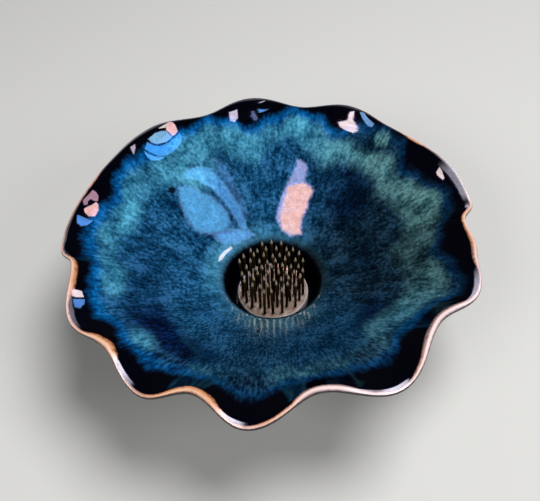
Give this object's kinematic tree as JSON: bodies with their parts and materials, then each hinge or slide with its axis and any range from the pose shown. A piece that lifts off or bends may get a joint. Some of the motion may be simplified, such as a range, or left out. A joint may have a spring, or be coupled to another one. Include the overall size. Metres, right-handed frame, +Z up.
{
  "type": "posy bowl with flower frog",
  "caption": "Wide shallow glazed dish with a fluted rim around a small central well, and a lift-out pin flower frog that stands in the well to hold stems.",
  "frame": {"origin": "middle of the foot ring, on the surface that the bowl stands on", "axes": "+Z up through the well and the frog, -Y towards the viewer of the picture, +X to the viewer's right"},
  "size_m": [0.1823, 0.1894, 0.0635],
  "materials": {
    "glaze": "gloss",
    "lead": "matte",
    "brass": "satin"
  },
  "bodies": {
    "bowl": {"bowl": "glaze"},
    "flower_frog": {"frog_base": "lead", "pin_01": "brass", "pin_02": "brass", "pin_03": "brass", "pin_04": "brass", "pin_05": "brass", "pin_06": "brass", "pin_07": "brass", "pin_08": "brass", "pin_09": "brass", "pin_10": "brass", "pin_11": "brass", "pin_12": "brass", "pin_13": "brass", "pin_14": "brass", "pin_15": "brass", "pin_16": "brass", "pin_17": "brass", "pin_18": "brass", "pin_19": "brass", "pin_20": "brass", "pin_21": "brass", "pin_22": "brass", "pin_23": "brass", "pin_24": "brass", "pin_25": "brass", "pin_26": "brass", "pin_27": "brass", "pin_28": "brass", "pin_29": "brass", "pin_30": "brass", "pin_31": "brass", "pin_32": "brass", "pin_33": "brass", "pin_34": "brass", "pin_35": "brass", "pin_36": "brass", "pin_37": "brass", "pin_38": "brass", "pin_39": "brass", "pin_40": "brass", "pin_41": "brass", "pin_42": "brass", "pin_43": "brass", "pin_44": "brass", "pin_45": "brass", "pin_46": "brass", "pin_47": "brass", "pin_48": "brass", "pin_49": "brass", "pin_50": "brass", "pin_51": "brass", "pin_52": "brass", "pin_53": "brass", "pin_54": "brass", "pin_55": "brass"}
  },
  "joints": [
    {"name": "frog_lift", "type": "slide", "parent": "bowl", "child": "flower_frog", "axis": [0, 0, 1], "range_m": [0, 0.07]}
  ]
}
